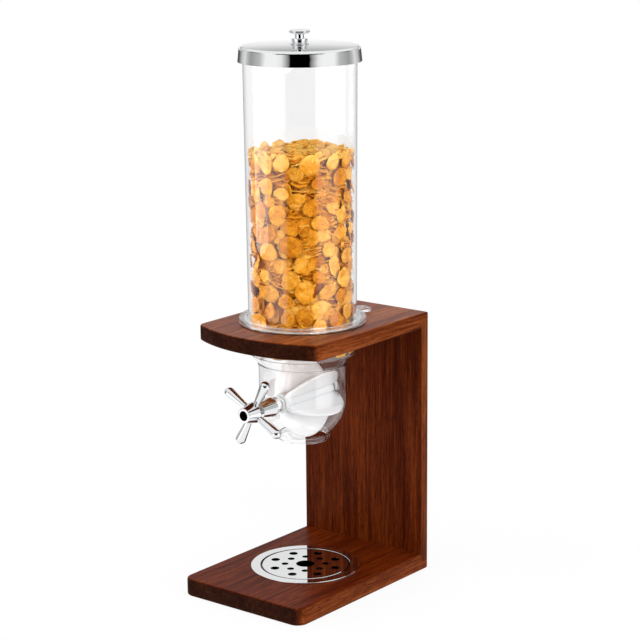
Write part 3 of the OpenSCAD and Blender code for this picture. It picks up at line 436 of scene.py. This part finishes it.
def scatter(rng, wanted, kept, gap):
    """Spots on the unrolled wall (turn, z) that keep clear of each other and of those already kept."""
    radius = float(wall_radius(np.array(FILL_TOP)))
    spots = []
    for _ in range(wanted * SCATTER_TRIES):
        turn = rng.uniform(0, 2 * np.pi)
        z = rng.uniform(FILL_BOTTOM + 3 * MM, FILL_TOP - 5 * MM)
        others = np.array(spots + kept).reshape(-1, 2)
        swing = np.abs((others[:, 0] - turn + np.pi) % (2 * np.pi) - np.pi) * radius
        if len(others) == 0 or np.min((swing / gap) ** 2 + ((others[:, 1] - z) / gap) ** 2) > 1:
            spots.append((turn, z))
            if len(spots) == wanted:
                break
    return spots


def wall_flake(rng, turn, z, lean, lean_to, depth):
    """A flake whose outermost point lies about the given depth behind the wall."""
    size = rng.uniform(*FLAKE_SIZES)
    out = np.array((math.cos(turn), math.sin(turn), 0.0))
    normal = math.cos(lean) * out + math.sin(lean) * lean_to
    reach = FLAKE_MEAN_R * size
    sag = reach * reach / 2 / float(wall_radius(np.array(z))) * math.cos(lean) ** 2
    r = float(wall_radius(np.array(z))) - depth - reach * abs(math.sin(lean)) - 0.5 * sag
    return r * out + (0, 0, z), normal, rng.uniform(0, 2 * np.pi), size


def flake_places(rng):
    """Centre, normal, spin and size of every flake, from the wall inwards and over the top."""
    places = []
    kept = []
    for count, depth, spread, gap in FACING_LAYERS:
        spots = scatter(rng, count, kept if depth == 0 else [], gap)
        kept += spots if depth == 0 else []
        for turn, z in spots:
            tangent = np.array((-math.sin(turn), math.cos(turn), 0.0))
            way = rng.uniform(0, 2 * np.pi)
            lean_to = math.cos(way) * tangent + math.sin(way) * np.array((0, 0, 1.0))
            lean = abs(rng.normal(0, FACING_LEAN))
            places.append(wall_flake(rng, turn, z, lean, lean_to, depth + rng.uniform(0, 1) * spread))
    for turn, z in scatter(rng, STACK_COUNT, kept, STACK_GAP):
        tangent = np.array((-math.sin(turn), math.cos(turn), 0.0))
        for step in STACK_PLACES:
            lean_to = np.array((0, 0, 1.0)) + 0.22 * rng.normal() * tangent
            lean_to /= np.linalg.norm(lean_to)
            aside = turn + rng.uniform(-0.07, 0.07)
            level = z + (step + rng.uniform(-0.3, 0.3)) * STACK_STEP
            level = min(max(level, FILL_BOTTOM + 2 * MM), FILL_TOP - 4 * MM)
            lean = rng.uniform(*STACK_LEAN)
            depth = rng.uniform(*STACK_DEPTH)
            places.append(wall_flake(rng, aside, level, lean, lean_to, depth))
    for i in range(CROWN_COUNT):
        turn = 2 * np.pi * (i * GOLDEN % 1.0)
        edge = float(wall_radius(np.array(FILL_TOP))) - 7 * MM
        r = edge * math.sqrt((i + 0.5) / CROWN_COUNT)
        swell = 1.8 * MM * math.cos(r / edge * 1.4) + 1.6 * MM * math.sin(3 * turn + 0.7)
        z = FILL_TOP - 4.5 * MM + swell + rng.uniform(-3.0, 1.8) * MM
        tilt = rng.normal(0, 0.30, 2)
        normal = np.array((tilt[0], tilt[1], 1.0))
        normal /= np.linalg.norm(normal)
        spot = np.array((r * math.cos(turn), r * math.sin(turn), z))
        places.append((spot, normal, rng.uniform(0, 2 * np.pi), rng.uniform(*FLAKE_SIZES)))
    return places


def keep_inside(points, floor_z):
    """Presses the points that would pass through the wall flat against it."""
    r = np.hypot(points[:, 0], points[:, 1])
    shrink = np.minimum(1.0, wall_radius(points[:, 2]) / np.maximum(r, 1e-9))
    points[:, :2] *= shrink[:, None]
    points[:, 2] = np.maximum(points[:, 2], floor_z)
    return points


def cereal_flakes(axis_y):
    """All the flakes as one mesh of closed islands."""
    rng = np.random.default_rng(FLAKE_SEED)
    kinds = [flake_kind(rng) for _ in range(FLAKE_KINDS)]
    all_points, all_faces, offset = [], [], 0
    for centre, normal, spin, size in flake_places(rng):
        points, faces = kinds[rng.integers(FLAKE_KINDS)]
        placed = points * size @ turn_to(normal, spin).T + centre
        all_points.append(keep_inside(placed, FILL_BOTTOM))
        all_faces.append(faces + offset)
        offset += len(points)
    points, faces = np.concatenate(all_points), np.concatenate(all_faces)
    mesh = bpy.data.meshes.new("cereal_flakes")
    mesh.from_pydata((points + (0, axis_y, 0)).tolist(), [], faces.tolist())
    mesh.validate()
    mesh.shade_smooth()
    flakes = bpy.data.objects.new("cereal_flakes", mesh)
    bpy.context.scene.collection.objects.link(flakes)
    mesh.materials.append(flake_material())
    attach(flakes, "root")
    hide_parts("cereal_fill")


def cereal_core(axis_y):
    """The plain, wavy core behind the flakes, coloured dark as painted shade of the deep fill."""
    rows = []
    for level in range(CORE_LEVELS + 1):
        share = level / CORE_LEVELS
        z = FILL_BOTTOM + 2 * MM + (FILL_TOP - 9 * MM - FILL_BOTTOM) * share
        ring = np.arange(CORE_SIDES) / CORE_SIDES * 2 * np.pi
        r = CORE_R + 1.5 * MM * np.sin(7 * ring + level * 1.7) * np.cos(3 * ring - level)
        rows.append(np.stack([r * np.cos(ring), r * np.sin(ring) + axis_y, np.full(CORE_SIDES, z)], 1))
    points = np.concatenate(rows)
    faces = [tuple(range(CORE_SIDES))[::-1], tuple(CORE_LEVELS * CORE_SIDES + i for i in range(CORE_SIDES))]
    for level in range(CORE_LEVELS):
        for i in range(CORE_SIDES):
            a = level * CORE_SIDES + i
            b = level * CORE_SIDES + (i + 1) % CORE_SIDES
            faces.append((a, b, b + CORE_SIDES, a + CORE_SIDES))
    mesh = bpy.data.meshes.new("cereal_core")
    mesh.from_pydata(points.tolist(), [], faces)
    core = bpy.data.objects.new("cereal_core", mesh)
    bpy.context.scene.collection.objects.link(core)
    material, g = new_material("crumbs_and_gap_shade")
    # Painted shade: the darkest flake tones stand in for the shade deep in the fill
    crumbs_and_shade = g.noise(g.place((1, 1, 1)), 260, 3.0)
    principled(g, {"Base Color": g.mix(crumbs_and_shade, FLAKE_TOAST, FLAKE_DEEP), "Roughness": 0.8,
        "Normal": g.bump(crumbs_and_shade, 0.8, 1.0 * MM)})
    mesh.materials.append(material)
    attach(core, "root")


# ---------------------------------------------------------------- the CAD nodes' materials

CANISTER_AXIS_Y = sum(c.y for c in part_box("canister_tube")) / 2
# Insides coloured near black as painted shade, as (x, y, z, the axis they run along, radius)
DISH_SHADE = (0, -3.5 * MM, 0, AXIS_Z, 57.3 * MM)
HUB_BORE_SHADE = (0, 0, 248 * MM, AXIS_Y, 6.3 * MM)
# Faceted nodes keep the edges that are sharper than this, in degrees
EDGE_ANGLE = 35.0
VANE_ANGLE = 30.0
VANE_BEVEL = 0.9 * MM
VANE_BEVEL_STEPS = 3


def dress(material, *nodes):
    for name in nodes:
        slots = NODES[name].data.materials
        slots.clear()
        slots.append(material)


def soften(name, angle=EDGE_ANGLE, bevel=0.0, steps=1):
    """Shades a faceted node smoothly between its real edges, and can round those edges."""
    piece = NODES[name]
    weld = piece.modifiers.new("weld", "WELD")
    weld.merge_threshold = 0.004 * MM
    if bevel:
        rounding = piece.modifiers.new("rounding", "BEVEL")
        rounding.width = bevel
        rounding.segments = steps
        rounding.limit_method = "ANGLE"
        rounding.angle_limit = math.radians(angle)
        rounding.harden_normals = False
    group = bpy.data.node_groups.new("smooth_" + name, "GeometryNodeTree")
    group.interface.new_socket("Geometry", in_out="INPUT", socket_type="NodeSocketGeometry")
    group.interface.new_socket("Geometry", in_out="OUTPUT", socket_type="NodeSocketGeometry")
    source = group.nodes.new("NodeGroupInput")
    target = group.nodes.new("NodeGroupOutput")
    faces = group.nodes.new("GeometryNodeSetShadeSmooth")
    edges = group.nodes.new("GeometryNodeSetShadeSmooth")
    edges.domain = "EDGE"
    fold = group.nodes.new("GeometryNodeInputMeshEdgeAngle")
    limit = group.nodes.new("FunctionNodeCompare")
    limit.operation = "LESS_EQUAL"
    limit.inputs[1].default_value = math.radians(angle)
    strip = group.nodes.new("GeometryNodeRemoveAttribute")
    strip.inputs["Name"].default_value = "custom_normal"
    group.links.new(source.outputs[0], strip.inputs["Geometry"])
    group.links.new(strip.outputs[0], faces.inputs["Geometry"])
    group.links.new(faces.outputs[0], edges.inputs["Geometry"])
    group.links.new(fold.outputs["Unsigned Angle"], limit.inputs[0])
    group.links.new(limit.outputs[0], edges.inputs["Shade Smooth"])
    group.links.new(edges.outputs[0], target.inputs[0])
    smooth = piece.modifiers.new("smooth", "NODES")
    smooth.node_group = group
    weighted = piece.modifiers.new("weighted", "WEIGHTED_NORMAL")
    weighted.keep_sharp = True
    weighted.weight = 60


dress(wood("oiled_wood_base", AXIS_Y, (0.3, 0.1, 0.7), 1.0, 0.10, BASE_TOP_PAINTED_LIGHT), "base_board")
dress(wood("oiled_wood_shelf", AXIS_Y, (1.9, 0.4, 0.2), 1.05, 0.38, SHELF_TOP_PAINTED_LIGHT), "top_shelf")
dress(wood("oiled_wood_panel", AXIS_Z, (0.8, 2.6, 0.5), 0.80), "back_panel")
dress(metal("mirror_steel", POLISHED, 0.02, 0.015), "tray_grille", "lid_cover")
dress(metal("mirror_dish", POLISHED, 0.02, 0.015, shaded_inside=DISH_SHADE), "tray_dish")
dress(metal("mirror_chrome", CHROMED, 0.02, 0.02), "lid_knob", "flared_collar", "handle_arms")
dress(metal("mirror_hub", CHROMED, 0.02, 0.02, shaded_inside=HUB_BORE_SHADE), "handle_hub")
dress(steel_screw(), "base_screws", "knob_screw", "knob_washer", "drive_shaft", "handle_screw", "rear_clip")
dress(clear_plastic("clear_plastic_tube", (0.998, 0.998, 0.999, 1), 1.40), "canister_tube")
dress(clear_plastic("clear_plastic_housing", (0.992, 0.993, 0.995, 1), 1.50),
    "dispenser_housing", "lock_ring")
dress(soft_white("seal_silicone", (0.86, 0.86, 0.84, 1), 0.4, 0.4, 60), "canister_seal", "lid_seal")
dress(soft_white("wheel_silicone", (0.86, 0.865, 0.875, 1), 0.34, 1.0, 35, deep=16 * MM), "paddle_wheel")
dress(soft_white("moulded_white", (0.82, 0.82, 0.80, 1), 0.42, 0.1, 80),
    "wheel_core", "front_bush", "rear_bush")
dress(foot_rubber(), "rubber_feet")
dress(wood("beech", AXIS_Z, (0.1, 0.1, 0.1), 3.0), "shelf_dowels")
soften("base_board")
soften("top_shelf")
soften("lid_cover")
soften("paddle_wheel", VANE_ANGLE, VANE_BEVEL, VANE_BEVEL_STEPS)
cereal_flakes(CANISTER_AXIS_Y)
cereal_core(CANISTER_AXIS_Y)

# ---------------------------------------------------------------- floor, world and lamps

FLOOR_R = 0.85
FLOOR_SIDES = 96
FLOOR_LIFT = 0.93
# Light that dull surfaces get from the upper and the lower half of the studio
AMBIENT_ABOVE = 0.58
AMBIENT_BELOW = 0.80
# How bright the low softboxes look in mirrors and clear walls, where white is 1
SOFTBOX_GAIN = 1.7
CEILING = (0.95, 0.95, 0.95, 1)
# Lamps: name, azimuth and elevation in degrees, distance, size, light on a facing surface, target's height
LAMPS = (
    ("key_light", 70, 17, 2.3, 1.3, 0.54, 0.35),
    ("top_light", 0, 88, 2.2, 1.4, 0.36, 0.30),
    ("fill_light", -55, 11, 2.6, 1.8, 0.78, 0.25))


def studio_floor():
    """A pale floor that looks nearly white, keeps a soft shadow and melts into the backdrop."""
    turn = np.arange(FLOOR_SIDES) / FLOOR_SIDES * 2 * np.pi
    ring = np.stack([FLOOR_R * np.cos(turn), FLOOR_R * np.sin(turn), 0 * turn], 1)
    mesh = bpy.data.meshes.new("studio_floor")
    mesh.from_pydata(ring.tolist(), [], [tuple(range(FLOOR_SIDES))])
    floor = bpy.data.objects.new("studio_floor", mesh)
    floor.location.z = -0.05 * MM
    bpy.context.scene.collection.objects.link(floor)
    material, g = new_material("pale_floor")
    paper = g.noise(g.place((1, 1, 1)), 60, 2.0)
    colour = g.mix(paper, (0.90, 0.90, 0.90, 1), (0.88, 0.88, 0.88, 1))
    matt = g.add("ShaderNodeBsdfDiffuse", {"Color": colour})
    lit = g.add("ShaderNodeEmission", {"Color": WHITE, "Strength": 1.0})
    path = g.add("ShaderNodeLightPath")
    seen = g.math("MAXIMUM", path.outputs["Is Camera Ray"], g.math("MAXIMUM",
        path.outputs["Is Glossy Ray"], path.outputs["Is Transmission Ray"]))
    distance = g.add("ShaderNodeVectorMath", {0: g.place((1, 1, 1))}, operation="LENGTH").outputs["Value"]
    lift = g.ramp(distance, [(0.25, FLOOR_LIFT), (0.78, 1.0)], smooth=True)
    both = g.add("ShaderNodeMixShader", {0: g.math("MULTIPLY", seen, lift), 1: matt.outputs[0],
        2: lit.outputs[0]})
    g.add("ShaderNodeOutputMaterial", {"Surface": both.outputs[0]})
    mesh.materials.append(material)


def studio_world():
    """White to the eye and through glass; mirrors see a studio with a dark camera side."""
    world = bpy.data.worlds.new("studio")
    world.use_nodes = True
    bpy.context.scene.world = world
    g = Graph(world.node_tree)
    direction = g.add("ShaderNodeTexCoord").outputs["Generated"]
    towards = (math.sin(VIEW_AZIMUTH), -math.cos(VIEW_AZIMUTH), 0)
    across = (math.cos(VIEW_AZIMUTH), math.sin(VIEW_AZIMUTH), 0)
    ahead, beside = (g.add("ShaderNodeVectorMath", {0: direction, 1: way},
        operation="DOT_PRODUCT").outputs["Value"] for way in (towards, across))
    angle = g.math("ABSOLUTE", g.math("ARCTAN2", beside, ahead))
    turn = g.math("DIVIDE", angle, math.pi)
    height = g.add("ShaderNodeSeparateXYZ", {0: direction}).outputs["Z"]
    level = g.math("ADD", g.math("MULTIPLY", height, 0.5), 0.5)
    # Round the studio by the angle from the camera's side: at eye level, below it and above it
    around = g.ramp(turn, [(0.100, 0.0), (0.108, 0.16), (0.145, 0.48), (0.19, 0.90), (0.24, 1.0),
        (0.37, 1.0), (0.44, 0.55), (0.57, 0.36), (0.62, 0.50), (0.68, 0.80), (0.74, 0.6), (0.80, 0.40)])
    below = g.ramp(turn, [(0.160, 0.0), (0.185, 0.6), (0.22, 1.0), (0.42, 1.0), (0.49, 0.15), (0.60, 0.10),
        (0.72, 0.30), (0.82, 0.1)])
    below = g.mix(1.0, below, (SOFTBOX_GAIN, SOFTBOX_GAIN, SOFTBOX_GAIN, 1), "MULTIPLY")
    above = g.ramp(turn, [(0.240, 0.0), (0.255, 0.5), (0.29, 1.0), (0.40, 1.0), (0.48, 0.3), (0.60, 0.2),
        (0.68, 0.8), (0.78, 0.6)])
    sides = g.mix(g.ramp(level, [(0.462, 0.0), (0.485, 1.0)]), below, around)
    sides = g.mix(g.ramp(level, [(0.565, 0.0), (0.595, 1.0)]), sides, above)
    # Behind the object, by height alone
    behind = g.ramp(level, [(0.475, 0.10), (0.498, 0.88), (0.515, 1.0), (0.552, 0.85), (0.590, 0.44),
        (0.620, 0.55), (0.660, 0.85)])
    rear = g.ramp(turn, [(0.78, 0.0), (0.86, 1.0)])
    ceiling = g.ramp(height, [(0.40, 0.0), (0.54, 1.0)])
    mirrored = g.mix(ceiling, g.mix(rear, sides, behind), CEILING)
    # What each ray sees: plain white, the mirrored studio, or the ambient light after a dull surface
    path = g.add("ShaderNodeLightPath")
    first = g.math("SUBTRACT", 1.0, path.outputs["Diffuse Depth"], clamp=True)
    bounced = g.math("MINIMUM", path.outputs["Glossy Depth"], 1.0)
    direct = g.math("MULTIPLY", first, g.math("SUBTRACT", 1.0, bounced))
    plain = g.math("MULTIPLY", direct, g.math("MAXIMUM",
        path.outputs["Is Camera Ray"], path.outputs["Is Transmission Ray"]))
    away = g.ramp(turn, [(0.52, 0.0), (0.70, 1.0)])
    inside = g.math("MULTIPLY", path.outputs["Transmission Depth"], 0.48, clamp=True)
    mirrored = g.mix(g.math("MULTIPLY", away, inside), mirrored, CEILING)
    ambient = g.ramp(level, [(0.46, AMBIENT_BELOW), (0.54, AMBIENT_ABOVE)])
    colour = g.mix(g.math("MULTIPLY", first, bounced), ambient, mirrored)
    colour = g.mix(plain, colour, WHITE)
    g.add("ShaderNodeOutputWorld", {"Surface": g.add("ShaderNodeBackground",
        {"Color": colour, "Strength": 1.0}).outputs[0]})


def softbox(name, azimuth, elevation, distance, size, factor, height):
    """A square area lamp; factor is the light on a facing surface, where 1 shows its colour as written."""
    azimuth = math.radians(azimuth)
    elevation = math.radians(elevation)
    data = bpy.data.lights.new(name, "AREA")
    data.size = size
    data.energy = factor * math.pi ** 2 * distance ** 2
    lamp = bpy.data.objects.new(name, data)
    back = Vector((math.sin(azimuth) * math.cos(elevation), -math.cos(azimuth) * math.cos(elevation),
        math.sin(elevation)))
    lamp.location = Vector((0, 0, height)) + distance * back
    lamp.rotation_euler = back.to_track_quat("Z", "Y").to_euler()
    lamp.visible_camera = False
    lamp.visible_glossy = False
    bpy.context.scene.collection.objects.link(lamp)


studio_floor()
studio_world()
for lamp_values in LAMPS:
    softbox(*lamp_values)

bpy.context.scene.view_settings.view_transform = "Standard"
bpy.context.scene.cycles.max_bounces = 24
bpy.context.scene.cycles.glossy_bounces = 16
bpy.context.scene.cycles.transmission_bounces = 24
bpy.context.scene.cycles.transparent_max_bounces = 16
